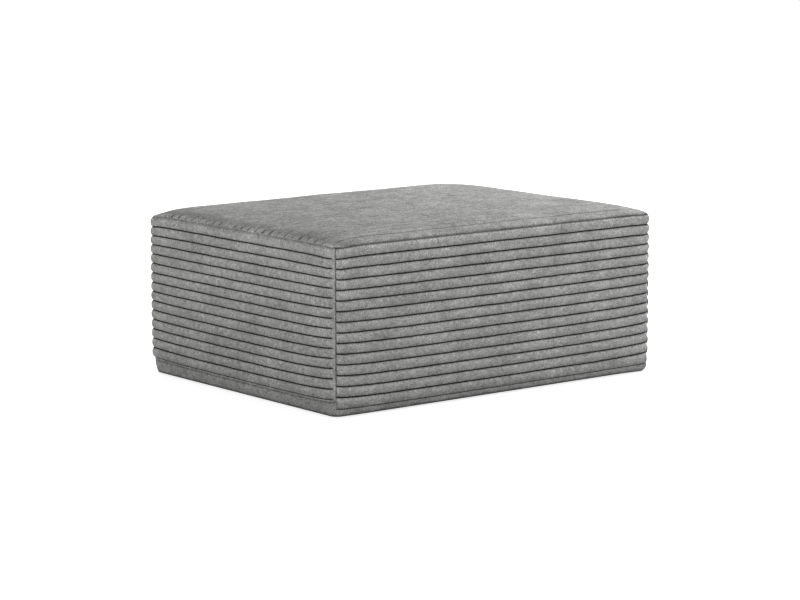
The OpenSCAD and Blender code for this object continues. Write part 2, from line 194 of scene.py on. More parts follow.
# Meshes

# Edges that turn by more than this are shaded sharp
SHARP_ANGLE = math.radians(60)


def placed(name, data):
    """An object in the scene, from its mesh, light or camera."""
    made = bpy.data.objects.new(name, data)
    bpy.context.scene.collection.objects.link(made)
    return made


def piece(name, points, faces, slot, replaced, attributes=None):
    """A piece of the pouf from its points and faces, in place of the nodes that it stands for."""
    mesh = bpy.data.meshes.new(name)
    mesh.from_pydata(points.reshape(-1, 3).tolist(), [], faces)
    mesh.update()
    for key, values in (attributes or {}).items():
        layer = mesh.attributes.new(key, "FLOAT", "POINT")
        layer.data.foreach_set("value", np.ascontiguousarray(values, np.float32).ravel())
    mesh.shade_smooth()
    mesh.set_sharp_from_angle(angle=SHARP_ANGLE)
    made = placed(name, mesh)
    mesh.materials.append(MATERIALS[slot])
    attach(made, "root")
    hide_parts(*replaced)
    return made


def loop_faces(columns, rows):
    """Quads of a tube of closed loops, and one face at each end."""
    number = np.arange(columns * rows).reshape(columns, rows)
    following = np.roll(number, -1, axis=1)
    quads = np.stack([number[:-1], following[:-1], following[1:], number[1:]], -1)
    faces = quads.reshape(-1, 4).tolist()
    faces.append(number[0, ::-1].tolist())
    faces.append(number[-1].tolist())
    return faces


# Side panels


class Side(NamedTuple):
    """Where a side runs and faces, its straight half length, and how far out its axes lie."""

    run: tuple
    face: tuple
    half_span: float
    offset: float


class Cloth(NamedTuple):
    """How the cover of a long or a short side is made up.

    pitch is the distance from rib to rib. The foot draws in by draw, from the height draw_h
    down. seam_fill is how full the top seam is, from 0 for a sharp one, and lean is how much
    lighter a rib is painted from its foot to its top, as painted light from above.
    """

    pitch: float
    draw: float
    draw_h: float
    seam_fill: float
    lean: float


class End(NamedTuple):
    """How a side panel ends at a corner seam.

    allowance is the width of the flat seam allowance, draw how far the lower corner draws in,
    lift how far the seam lifts the low ribs, pinch how much it pinches the ribs, bulge how far
    they bulge beside it, and rounder how much rounder the foot of the corner is.
    """

    allowance: float
    draw: float
    lift: float
    pinch: float
    bulge: float = 0
    rounder: float = 0


SIDES = {
    "front": Side((1, 0), (0, -1), AXIS_X, AXIS_Y),
    "right": Side((0, 1), (1, 0), AXIS_Y, AXIS_X),
    "back": Side((-1, 0), (0, 1), AXIS_X, AXIS_Y),
    "left": Side((0, -1), (-1, 0), AXIS_Y, AXIS_X),
}
LONG_SIDE = Cloth(pitch=26 * MM, draw=3 * MM, draw_h=30 * MM, seam_fill=0.15, lean=0.56)
SHORT_SIDE = Cloth(pitch=24.65 * MM, draw=6.5 * MM, draw_h=55 * MM, seam_fill=0.55, lean=0.33)

# Stations along a panel: their spacing on the straight, and their number on half a corner
STATION_GAP = 4 * MM
ARC = GROOVE_R * math.radians(45)
ARC_STEPS = 14

# A rib's section: the power of its curve, and how far its groove cuts below the cloth's plane
SIDE_RIBS = 15
RIB_STEPS = 18
RIB_POWER = 2.3
GROOVE_CUT = 1.4 * MM
# The painted shade in a groove, partly the darker ground of the weave and mostly shade. The rib is
# painted lighter from a height up, over a span.
GROOVE_SHADE = 0.03
UNDER_LIGHT_FROM, UNDER_SPAN = 0.41, 0.41
UPPER_LIGHT_FROM, UPPER_SPAN = 0.35, 0.39
# The height of the cloth in the flat seam allowance, as a share of a rib's
ALLOWANCE_H = 0.72

# How far a corner seam's draw and bulge reach along the panel, and the height of that draw
SEAM_REACH = 60 * MM
CORNER_DRAW_H = 55 * MM
# How far its pinch reaches, and where the grooves and the top edge start to move freely
PINCH_REACH = 8 * MM
STEADY_REACH = 25 * MM
# How far its lift of the low ribs reaches. The lift grows up to the first height, and fades
# from the second to the third.
LIFT_REACH = 75 * MM
LIFT_START = 48 * MM
LIFT_FULL = 130 * MM
LIFT_TOP = 370 * MM

# At a panel's ends the cloth turns in by a depth, over a width, and is painted with shade a little
# less far
END_TURN = 2.2 * MM
END_TURN_W = 1.4 * MM
END_SHADE_W = 1.3 * MM
# How far the uneven ribs may stand out past their plane
OVER_PLANE = 0.4 * MM

# The highest groove lies this far below the top seam
SEAM_TUCK = 2.8 * MM
# Small folds under the top seam: their width and their slant, and the lip beside each
FOLD_W = 2.2 * MM
FOLD_SLANT = 14 * MM
LIP_W = 3 * MM
LIP_ASIDE = 6 * MM
# The plain band, its light crease, the foot with its extra rounding at a corner, and the hem
BAND_STEPS = 20
CREASE_Z = 34 * MM
CREASE_W = 2.2 * MM
FOOT_R = 3 * MM
FOOT_STEPS = 7
ROUNDER_REACH = 18 * MM
HEM_W = 15 * MM
HEM_STEPS = 3
LINING_STEPS = 13


def panel_stations(half_span, extra=(0, 0)):
    """Places along a side from its last end to its first, closer together round the corners.

    extra is how far each end goes past the middle of its corner. With this order the loops of
    faces that loop_faces makes round the sections point outwards.
    """
    straight = np.linspace(-half_span, half_span, round(2 * half_span / STATION_GAP) + 1)
    first, last = (
        np.linspace(half_span, half_span + ARC + more, ARC_STEPS + 1)[1:] for more in extra
    )
    return np.concatenate([-first[::-1], straight, last])[::-1]


def place_on_side(side, u, radius):
    """Plan position of a point at a station, at a radius from the corner's axis."""
    run, face, half_span, offset = SIDES[side]
    angle = np.clip(np.abs(u) - half_span, 0, None) / GROOVE_R
    at = np.clip(u, -half_span, half_span) + np.sign(u) * np.sin(angle) * radius
    out = offset + np.cos(angle) * radius
    return at * run[0] + out * face[0], at * run[1] + out * face[1]


def rib_shape(phase):
    """Height of a rib, from 0 in its grooves to 1 on its crest."""
    return (1 - np.abs(2 * phase - 1) ** RIB_POWER) ** (1 / RIB_POWER)


def rib_shade(phase, lean):
    """Painted shade of a rib: almost black in its grooves, and painted lighter towards its upper
    side as if lit from above.
    """
    height = rib_shape(phase)
    under = smooth((height - UNDER_LIGHT_FROM) / UNDER_SPAN)
    upper = smooth((height - UPPER_LIGHT_FROM) / UPPER_SPAN)
    painted_rib_light = np.where(phase < 0.5, under, upper)
    # Painted light from above: the rib is painted lighter towards its top by lean
    rising = 1 + lean * (phase - 0.5)
    return (GROOVE_SHADE + (1 - GROOVE_SHADE) * painted_rib_light) * rising


class SidePanel:
    """A side panel of ribbed cloth with its hem, from one corner seam to the other.

    ends are its first and its last end. extra is how far each of them goes past the middle of
    its corner, and puckers are the places of small folds under the top seam. The panel is one
    closed skin. The methods from hem() to hem_edge() give its rows in order, each as radius,
    height and shade, with one value to a station or the same for all.
    """

    def __init__(self, side, cloth, ends, seed, extra=(0, 0), puckers=()):
        self.side, self.cloth, self.seed, self.puckers = side, cloth, seed, puckers
        half_span = SIDES[side].half_span
        self.u = panel_stations(half_span, extra)[:, None]
        self.to_seam = half_span + ARC + np.where(self.u < 0, *extra) - np.abs(self.u)
        self.end = End(*(np.where(self.u < 0, first, last) for first, last in zip(*ends)))
        self.seam_near = bell(self.to_seam, SEAM_REACH)
        self.steady = smooth(self.to_seam / STEADY_REACH)
        self.draw = cloth.draw + (self.end.draw - cloth.draw) * self.seam_near
        self.draw_h = cloth.draw_h + (CORNER_DRAW_H - cloth.draw_h) * self.seam_near
        self.foot_round = FOOT_R + self.end.rounder * bell(self.to_seam, ROUNDER_REACH)
        self.foot_r = GROOVE_R - self.draw
        self.ribs_z = SEAM_Z - SEAM_TUCK - cloth.pitch * SIDE_RIBS
        # Painted shade in the top seam: lighter where the seam is full, and darker beside the
        # corners
        beside_corner = np.exp(-self.to_seam / (6 * MM))
        self.seam_shade = (0.1 + 1.4 * cloth.seam_fill) * (1 - 0.6 * beside_corner)

    def drawn(self, z):
        """How far the cover draws in at a height."""
        share = np.clip((self.draw_h - z) / (self.draw_h - HEM_Z), 0, None)
        return self.draw * share**2

    def groove_wave(self, groove):
        """How a groove wanders up and down along the panel."""
        slow = 0.5 * MM * noise(self.u / (70 * MM), groove * 7.3, self.seed)
        return slow + 0.25 * MM * noise(self.u / (19 * MM), groove * 5.1, self.seed + 1)

    def folds(self, from_top):
        """Height of the small folds and the lips beside them under the top seam, with painted
        shade in the folds and painted highlights on the lips.
        """
        under_seam = smooth((from_top + 0.75) / 0.25)
        height, shade = 0, 1
        for place in self.puckers:
            aside = self.u - place - FOLD_SLANT * (from_top + 0.45) ** 2
            fold = bell(aside, FOLD_W) * under_seam
            lip = bell(aside + LIP_ASIDE, LIP_W) * under_seam
            height = height + (1.1 * lip - 1.8 * fold) * MM
            shade = shade * (1 + 0.22 * lip - 0.42 * fold)
        return height, shade

    def hem(self):
        """The cloth turned under the frame."""
        inwards = np.linspace(0, 1, HEM_STEPS + 1)[:-1]
        return self.foot_r - HEM_W + (HEM_W - self.foot_round) * inwards, HEM_Z, 1

    def foot(self):
        """The rounded foot."""
        turn = np.linspace(0, np.pi / 2, FOOT_STEPS + 1)
        radius = self.foot_r - self.foot_round + self.foot_round * np.sin(turn)
        return radius, HEM_Z + self.foot_round * (1 - np.cos(turn)), 1

    def band(self):
        """The plain band between the foot and the lowest groove."""
        up = np.linspace(0, 1, BAND_STEPS + 1)[1:-1]
        z = (HEM_Z + self.foot_round) * (1 - up) + self.ribs_z * up
        belly = np.sin(np.pi * up)
        crease = self.cloth.seam_fill * bell(z - CREASE_Z, CREASE_W)
        radius = GROOVE_R + (1.2 * belly - 1.6 * crease) * MM - self.drawn(z)
        rough = 0.3 * MM * noise(self.u / (14 * MM), z / (9 * MM), self.seed + 5)
        # Painted shade in the crease
        return radius + rough * belly, z, 1 - 0.9 * crease

    def ribs(self):
        """The ribs, from the lowest groove up."""
        u, to_seam, seed, fill = self.u, self.to_seam, self.seed, self.cloth.seam_fill
        count = np.arange(SIDE_RIBS)[:, None]
        turn = np.arange(RIB_STEPS)[None, :] / RIB_STEPS
        phase = ((1 - np.cos(np.pi * turn)) / 2 + 0 * count).ravel()
        rib = (count + 0 * turn).ravel()
        from_top = rib + phase - SIDE_RIBS
        last_rib = smooth((from_top + 0.5) / 0.4)

        wave = self.groove_wave(rib) * (1 - phase) + self.groove_wave(rib + 1) * phase
        z = self.ribs_z + (rib + phase) * self.cloth.pitch
        z = z + self.steady * np.where(rib > 0, 1.0, 0.6) * wave

        # The ribs flatten into the seam allowance at the ends of the panel
        flat = np.exp(-((to_seam / self.end.allowance) ** 4))
        shape = rib_shape(phase)
        relief = np.maximum(shape * (1 - flat) + ALLOWANCE_H * flat, fill * last_rib)
        plump = 1 + 0.05 * noise(u / (45 * MM), rib * 3.7, seed + 2)
        pinch = 1 - self.end.pinch * np.exp(-to_seam / PINCH_REACH)
        nap = 0.22 * MM * noise(u / (9 * MM), z / (7 * MM), seed + 3)
        nap = nap + 0.12 * MM * noise(u / (4.5 * MM), z / (3.5 * MM), seed + 4)
        bottom = GROOVE_R - GROOVE_CUT * (1 - flat)
        radius = bottom + (CORNER_R - bottom) * relief * plump * pinch + nap * shape
        radius = radius - END_TURN * bell(to_seam, END_TURN_W)
        radius = np.minimum(radius, CORNER_R + OVER_PLANE) - self.drawn(z)
        bulge = 0.5 + 0.5 * np.sin(np.pi * np.clip(z / SEAM_Z, 0, 1))
        fold, fold_shade = self.folds(from_top)
        radius = radius + self.end.bulge * self.seam_near * bulge * shape + fold

        shade = rib_shade(phase, self.cloth.lean) * (1 - flat) * fold_shade + flat
        # Painted shade where the cloth turns in at the corner seams
        shade = shade * (1 - 0.55 * bell(to_seam, END_SHADE_W))
        shade = np.where(last_rib > 0, np.maximum(shade, self.seam_shade), shade)
        # Painted light on the highest rib of a full seam, and painted shade on its upper part
        # where it turns towards the top
        painted_top_rib_light = 0.1 * fill * (rib == SIDE_RIBS - 1) - 0.15 * fill * last_rib
        return radius, z, shade * (1 + painted_top_rib_light)

    def top_edge(self):
        """Height of the cloth's edge, which turns down on the sides with a sharp seam."""
        return SEAM_Z - 1.1 * (EDGE_DROP * (self.cloth.seam_fill < 0.5) * self.steady)

    def tuck(self):
        """The cloth that turns in at the top seam."""
        outer = GROOVE_R + RIB_H * self.cloth.seam_fill - 0.6 * MM
        z = np.concatenate([SEAM_Z - SEAM_TUCK + 0 * self.u, self.top_edge()], 1)
        return np.array([outer, GROOVE_R - 0.3 * MM]), z, self.seam_shade

    def lining(self):
        """The inner face, from the top seam down."""
        down = np.linspace(0, 1, LINING_STEPS + 1)
        z = self.top_edge() * (1 - down) + (HEM_Z + CLOTH_T) * down
        above_foot = np.clip((z - HEM_Z) / self.foot_round, 0, 1)
        rounded = self.foot_round * (1 - np.sqrt(1 - (1 - above_foot) ** 2))
        return LINING_R - self.drawn(z) - rounded, z, 1

    def hem_edge(self):
        """The cut edge of the hem."""
        return self.foot_r - HEM_W, HEM_Z + CLOTH_T, 1

    def lifted(self, height):
        """Height after the corner seams have lifted the ribs low down."""
        lift = self.end.lift * np.clip((height - HEM_Z) / (LIFT_START - HEM_Z), 0, 1)
        lift = lift * np.clip((LIFT_TOP - height) / (LIFT_TOP - LIFT_FULL), 0, 1)
        return height + lift * np.exp(-self.to_seam / LIFT_REACH)

    def make(self):
        """The panel itself, from all its rows."""
        parts = (self.hem, self.foot, self.band, self.ribs, self.tuck, self.lining, self.hem_edge)
        rows = [np.broadcast_arrays(*part(), self.u)[:3] for part in parts]
        radius, height, shades = (np.concatenate(values, 1) for values in zip(*rows))
        x, y = place_on_side(self.side, self.u, radius)
        height = self.lifted(height)
        points = np.stack([x, y, settled(x, y, height)], -1)
        # Painted shade: the cloth is darker towards the floor and lighter towards the top seam,
        # with a painted contact shadow at its foot
        shades = 1.045 * shades * (0.8 + 0.2 * smooth(height / (60 * MM)))
        shades = shades * (0.945 + 0.1 * smooth(height / SEAM_Z))
        shades = shades * (1 - 0.8 * bell(height - HEM_Z, 5.5 * MM))
        made = piece(
            self.side + "_panel",
            points,
            loop_faces(*radius.shape),
            "corduroy",
            [self.side + "_cover"],
            {"shade": shades},
        )


# Crowned layers


def crowned_layer(
    name,
    shape,
    rows,
    columns,
    upper,
    lower,
    slot,
    replaced,
    every=(1, 1),
    inset=0,
    shade=None,
    bend=None,
):
    """A closed layer: a fine upper surface, a coarser lower one, and a wall or rim between them.

    rows and columns run from -1 to 1 over the depth and the length, and upper and lower give
    the heights. The lower surface has one row and column to every so many of the upper one, and
    is smaller by an inset. shade gives the shade of the upper surface before bend, which moves
    the points of both.
    """
    row_step, column_step = every

    def surface(row_values, column_values, height):
        y = np.broadcast_to(row_values[:, None] * shape[1], (len(row_values), len(column_values)))
        x = column_values[None, :] * half_len_at(y, shape)
        return np.stack([x, y, height(x, y)], -1)

    top = surface(rows, columns, upper)
    under = surface(rows[::row_step], columns[::column_step], lower)
    attributes = {}
    if shade is not None:
        shades = shade(top[..., 0], top[..., 1]).ravel()
        attributes["shade"] = np.concatenate([shades, np.ones(under[..., 0].size)])
    if bend is not None:
        top, under = bend(top), bend(under)
    under[..., :2] *= 1 - inset / np.array(shape[:2])
    top_no = np.arange(top.shape[0] * top.shape[1]).reshape(top.shape[:2])
    under_no = top_no.size + np.arange(under.shape[0] * under.shape[1]).reshape(under.shape[:2])

    def quads(number, turn):
        ring = [number[:-1, :-1], number[:-1, 1:], number[1:, 1:], number[1:, :-1]]
        return np.stack(ring[::turn], -1).reshape(-1, 4).tolist()

    faces = quads(top_no, 1) + quads(under_no, -1)
    edges = (
        (top_no[0], under_no[0], column_step, 1),
        (top_no[:, -1], under_no[:, -1], row_step, 1),
        (top_no[-1], under_no[-1], column_step, -1),
        (top_no[:, 0], under_no[:, 0], row_step, -1),
    )
    for fine, coarse, step, turn in edges:
        for i in range(len(coarse) - 1):
            face = [*fine[i * step : (i + 1) * step + 1], coarse[i + 1], coarse[i]]
            faces.append([int(v) for v in face[::-turn]])
    points = np.concatenate([top.reshape(-1, 3), under.reshape(-1, 3)])
    return piece(name, points, faces, slot, replaced, attributes)


def ends_first(count, power):
    """From -1 to 1, closer together at both ends."""
    t = np.linspace(-1, 1, count)
    return np.sign(t) * (1 - (1 - np.abs(t)) ** power)


# The top panel

TOP_SHAPE = outline(RIB_H)
TOP_RIBS = 26
TOP_PITCH = 2 * TOP_SHAPE[1] / TOP_RIBS
TOP_RIB_H = 2.5 * MM
TOP_RIB_STEPS = 14
# Over what length the ribs rise out of the end seams
RIB_FADE = 12 * MM
# How far the ribs run askew into the left end seam, and over what length
SKEW = 14 * MM
SKEW_REACH = 30 * MM

# The grooves show as ticks of painted shade at the ends of the ribs: their length, how much of it
# fades out, and their width beside that of the other grooves
TICK_LEN = 26 * MM
TICK_FADE = 24 * MM
TICK_W = 3.2 * MM
GROOVE_W = 1.6 * MM
# How far from the left seam the cloth is painted darker, and the width of the strip beside that
# seam which is painted lighter
LEFT_SHADE_REACH = 90 * MM
PAINTED_LIGHT_STRIP_W = 16 * MM


def from_end(x, y):
    """Distance to the nearer end seam of the top."""
    return half_len_at(y, TOP_SHAPE) - np.abs(x)


def from_side(y):
    """Distance to the nearer long seam of the top."""
    return TOP_SHAPE[1] - np.abs(y)


def top_edge_drop(x, y):
    """The long edges turn down into their seams."""
    near = np.exp(-from_side(y) / (3 * MM))
    return EDGE_DROP * near * smooth(from_end(x, y) / STEADY_REACH)


def top_grooves(x, y):
    """How much painted shade darkens the grooves and the ticks at the ends of the ribs. The pile
    closes over most of those away from the seams.
    """
    from_left = half_len_at(y, TOP_SHAPE) + x
    across = from_side(y) / TOP_PITCH
    from_groove = np.abs(across - np.round(across)) * TOP_PITCH
    first = bell(from_side(y) - TOP_PITCH, 8 * MM)
    first = first * smooth((from_left - 18 * MM) / (16 * MM))
    ticks = smooth((TICK_LEN - from_end(x, y)) / TICK_FADE)
    ticks = ticks * smooth((from_end(x, y) + 1.5 * MM) / (4 * MM))
    ticks = ticks * (0.66 + 0.3 * noise(x / (25 * MM), y / (28 * MM), 64))
    ticks = ticks * smooth((across - 1.3) / 0.4) * np.where(x < 0, 1, 0.7)
    broken = smooth(noise(x / (35 * MM), y / (16 * MM), 65) - 0.1)
    strength = np.maximum(first * (0.7 + 0.2 * noise(x / (22 * MM), y, 66)), ticks)
    strength = np.maximum(strength, 0.1 + 0.4 * broken)
    return strength * bell(from_groove, np.where(ticks > 0.2, TICK_W, GROOVE_W))


def top_shade(x, y):
    """Shade of the top: painted shade in the grooves and seams, painted shade and a painted light
    strip at the left end, a painted lighter right half, and random blotches and mottle.
    """
    # Painted shade in the long seams and the end seams
    beside_seam = 0.5 * bell(from_side(y), 0.8 * MM)
    beside_end = 0.06 * bell(from_end(x, y), 3 * MM)
    dark = np.maximum(np.maximum(top_grooves(x, y), beside_seam), beside_end)
    dark = np.clip(dark, 0, 0.95)
    from_left = half_len_at(y, TOP_SHAPE) + x
    left = smooth(1 - from_left / LEFT_SHADE_REACH)
    # Painted shade over the left end, which the key light reaches least, and a painted lighter
    # strip beside the left seam
    painted_left_shading = 1 - 0.245 * left
    painted_left_shading = painted_left_shading - 0.07 * bell(from_left - 28 * MM, 15 * MM)
    painted_left_shading = painted_left_shading + 0.54 * smooth(1 - from_left / PAINTED_LIGHT_STRIP_W)
    blotches = 0.08 * noise(x / (22 * MM), y / (34 * MM), 67) * left
    mottle = 0.11 * noise(x / (6 * MM), y / (10 * MM), 68)
    mottle = mottle * smooth(1 - (from_left - 30 * MM) / (25 * MM))
    # A painted lighter right half, as light from the right
    brushed_nap_and_painted_light = 1 + 0.08 * smooth((x + 150 * MM) / (450 * MM))
    return (1 - dark) * (painted_left_shading + blotches + mottle) * brushed_nap_and_painted_light


def top_upper(x, y):
    """Height of the ribbed face."""
    across = (y / TOP_SHAPE[1] + 1) / 2 * TOP_RIBS
    rib = np.clip(np.floor(across + 1e-6), 0, TOP_RIBS - 1)
    risen = np.clip(from_end(x, y) / RIB_FADE, 0, 1)
    relief = rib_shape(np.clip(across - rib, 0, 1)) * np.sqrt(1 - (1 - risen) ** 2)
    plump = 1 + 0.08 * noise(x / (60 * MM), rib * 3.7, 63)
    nap = 0.25 * MM * noise(x / (11 * MM), y / (8 * MM), 61)
    nap = nap + 0.8 * MM * noise(x / (90 * MM), y / (70 * MM), 62)
    soft = smooth(np.minimum(from_end(x, y), from_side(y)) / (20 * MM))
    z = SEAM_Z + dome(x, y, TOP_SHAPE, CROWN) + TOP_RIB_H * relief * plump + nap * soft
    return top_settled(x, y, z - top_edge_drop(x, y), TOP_SHAPE)


def top_lower(x, y):
    """Height of the cloth's inner face."""
    z = SEAM_Z + dome(x, y, outline(RIB_H + CLOTH_T), CROWN - CLOTH_T)
    return top_settled(x, y, z - top_edge_drop(x, y), TOP_SHAPE)


def skewed(points):
    """Points of the top with its ribs run a little askew into the left end seam."""
    x, y, z = np.moveaxis(points, -1, 0)
    half_len = half_len_at(y, TOP_SHAPE)
    aside = bell(half_len + x, SKEW_REACH) * smooth((TOP_SHAPE[1] + y) / TOP_PITCH)
    new_y = y - SKEW * (aside * smooth((TOP_SHAPE[1] - y) / (2 * TOP_PITCH)))
    new_x = x * half_len_at(new_y, TOP_SHAPE) / half_len
    here, there = (
        top_settled(a, b, SEAM_Z + dome(a, b, TOP_SHAPE, CROWN), TOP_SHAPE)
        for a, b in ((x, y), (new_x, new_y))
    )
    return np.stack([new_x, new_y, z + there - here], -1)


def top_panel():
    """The crowned top of ribbed cloth. Its ribs run along the length and fade at the end seams."""
    turn = np.arange(TOP_RIBS * TOP_RIB_STEPS + 1) / TOP_RIB_STEPS
    whole = np.floor(turn)
    phase = (1 - np.cos(np.pi * (turn - whole))) / 2
    made = crowned_layer(
        "top_panel",
        TOP_SHAPE,
        rows=2 * (whole + phase) / TOP_RIBS - 1,
        columns=ends_first(241, power=1.35),
        upper=top_upper,
        lower=top_lower,
        slot="corduroy",
        replaced=["top_cover"],
        every=(TOP_RIB_STEPS, 8),
        inset=CLOTH_T,
        shade=top_shade,
        bend=skewed,
    )


# Padding inside the cover

SOFT_GAP = 0.3 * MM
FOAM_INSET = RIB_H + CLOTH_T + SOFT_GAP
WADDING_T = 10 * MM
WADDING_TOP = SEAM_Z - SOFT_GAP
FOAM_TOP = WADDING_TOP - WADDING_T - SOFT_GAP
SIDE_FOAM_T = 10 * MM


def eased(x, y, shape, radius):
    """How much a layer's rounded edge lowers its surface."""
    inside = np.clip(edge_inside(x, y, shape) / radius, 0, 1)
    return radius * (1 - np.sqrt(1 - (1 - inside) ** 2))


def wadding_layer():
    """Fibre wadding between the cover and the foam, with soft rounded edges."""
    shape = outline(FOAM_INSET)
    edge_r = 4 * MM

    def upper(x, y):
        dents = 0.25 * MM * (noise(x / (25 * MM), y / (25 * MM), 71) - 1)
        z = WADDING_TOP + dome(x, y, shape, CROWN - CLOTH_T) + dents - eased(x, y, shape, edge_r)
        return top_settled(x, y, z, shape)

    def lower(x, y):
        z = WADDING_TOP - WADDING_T + dome(x, y, shape, CROWN - CLOTH_T)
        return top_settled(x, y, z + eased(x, y, shape, edge_r), shape)

    made = crowned_layer(
        "wadding",
        shape,
        rows=ends_first(97, power=1.6),
        columns=ends_first(121, power=1.6),
        upper=upper,
        lower=lower,
        slot="wadding",
        replaced=["top_wadding"],
        every=(2, 2),
    )


def foam_block():
    """The crowned foam block that is sat on, with its cut edges eased."""
    shape = outline(FOAM_INSET)
    edge_r = 5 * MM

    def upper(x, y):
        z = FOAM_TOP + dome(x, y, shape, CROWN - CLOTH_T) - eased(x, y, shape, edge_r)
        return top_settled(x, y, z, shape)

    def lower(x, y):
        return DECK_Z + eased(x, y, shape, edge_r)

    made = crowned_layer(
        "foam_block",
        shape,
        rows=ends_first(73, power=1.8),
        columns=ends_first(89, power=1.8),
        upper=upper,
        lower=lower,
        slot="foam",
        replaced=["top_foam"],
    )


def side_foam(side, foot_z):
    """A sheet of foam on one side of the frame, bent round half of each corner."""
    u = panel_stations(SIDES[side].half_span)[::2, None]
    edge_r = 2.5 * MM
    quarter = np.linspace(0, np.pi / 2, 5)
    outer = CORNER_R - FOAM_INSET
    # Where the middles of the section's rounded corners lie
    middle_r = {-1: outer - SIDE_FOAM_T + edge_r, 1: outer - edge_r}
    middle_z = {-1: foot_z + edge_r, 1: DECK_Z - edge_r}
    radii, heights = [], []
    for number, (side_r, side_z) in enumerate(CORNERS):
        turn = quarter[::-1] if number % 2 else quarter
        radii.append(middle_r[side_r] + side_r * edge_r * np.cos(turn))
        heights.append(middle_z[side_z] + side_z * edge_r * np.sin(turn))
    radius = np.concatenate(radii)[None, :] + 0 * u
    height = np.concatenate(heights)[None, :] + 0 * u
    x, y = place_on_side(side, u, radius)
    made = piece(
        side + "_side_foam",
        np.stack([x, y, height], -1),
        loop_faces(*radius.shape),
        "foam",
        [side + "_foam"],
    )


def sheet_shape(high):
    """Shape of a sheet that reaches to the upper corner of its solid's box."""
    return high.x, high.y, CORNER_R - (HALF_LEN - high.x)


def felt_sheet():
    """Felt that keeps the foam off the webbing."""
    low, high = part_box("spring_felt")
    shape = sheet_shape(high)
    edge_r = 1 * MM
    made = crowned_layer(
        "felt",
        shape,
        rows=ends_first(41, power=1.8),
        columns=ends_first(51, power=1.8),
        upper=lambda x, y: high.z - eased(x, y, shape, edge_r),
        lower=lambda x, y: low.z + eased(x, y, shape, edge_r),
        slot="felt",
        replaced=["spring_felt"],
    )


# The webbing under the felt

WEB_T = 1.6 * MM
WEB_W = 50 * MM
# How far beside a crossing a strap still lies level, and how far before a rail's inner edge it
# starts to rise or sink
WEB_MARGIN = 3 * MM
WEB_LEAVES = 1 * MM
WEB_STATIONS = 241
WEB_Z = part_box("lengthwise_webbing")[0].z + WEB_T + SOFT_GAP / 2 + WEB_T / 2
RAIL_INNER_X = -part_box("left_top_rail")[1].x
RAIL_INNER_Y = -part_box("front_top_rail")[1].y


def webbing(node, straps, crossings, lengthwise):
    """Elastic straps from rail to rail, woven over and under the straps that they cross."""
    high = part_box(node)[1]
    reach = high.x if lengthwise else high.y
    clear = 2 * (RAIL_INNER_X if lengthwise else RAIL_INNER_Y)
    across_clear = 2 * (RAIL_INNER_Y if lengthwise else RAIL_INNER_X)
    run = np.linspace(-reach, reach, WEB_STATIONS)
    places = clear * ((np.arange(crossings) + 0.5) / crossings - 0.5)
    flat = WEB_W / 2 + WEB_MARGIN
    knots = [-reach, -clear / 2 - WEB_LEAVES]
    for place in places:
        knots += [place - flat, place + flat]
    knots += [clear / 2 + WEB_LEAVES, reach]
    # The section is thinner at its edges
    edge = WEB_W / 2
    section_y = np.array([-edge, -edge + 1 * MM, 0, edge - 1 * MM, edge])
    half_t = np.array([0.3, 0.5, 0.5, 0.5, 0.3]) * WEB_T
    ring_y = np.concatenate([section_y, section_y[::-1]])
    ring_z = np.concatenate([-half_t, half_t[::-1]])
    points, faces = [], []
    for strap in range(straps):
        over = (strap % 2 == 0) == lengthwise
        levels = [0, 0]
        for i in range(crossings):
            step = 1 if (i % 2 == 0) == over else -1
            levels += [step * (WEB_T + SOFT_GAP) / 2] * 2
        levels += [0, 0]
        part = np.clip(np.searchsorted(knots, run, side="right") - 1, 0, len(knots) - 2)
        start = np.take(knots, part)
        share = (run - start) / (np.take(knots, part + 1) - start)
        level = np.take(levels, part)
        level = level + (np.take(levels, part + 1) - level) * smooth(share)
        place = across_clear * ((strap + 0.5) / straps - 0.5)
        along = run[:, None] + 0 * ring_y
        across = place + ring_y + 0 * along
        height = WEB_Z + level[:, None] + ring_z
        plan = [along, across] if lengthwise else [-across, along]
        first = sum(len(p) for p in points)
        points.append(np.stack([*plan, height], -1).reshape(-1, 3))
        for face in loop_faces(len(run), len(ring_y)):
            faces.append([first + v for v in face])
    piece(node.replace("webbing", "straps"), np.concatenate(points), faces, "webbing", [node])


# The dust sheet's square openings for the bosses of the glides, and its lines inside and
# outside them on each half
GLIDE_R = 16 * MM
OPENING_HALF = 6.5 * MM
INNER_LINES = 31
OUTER_LINES = 5


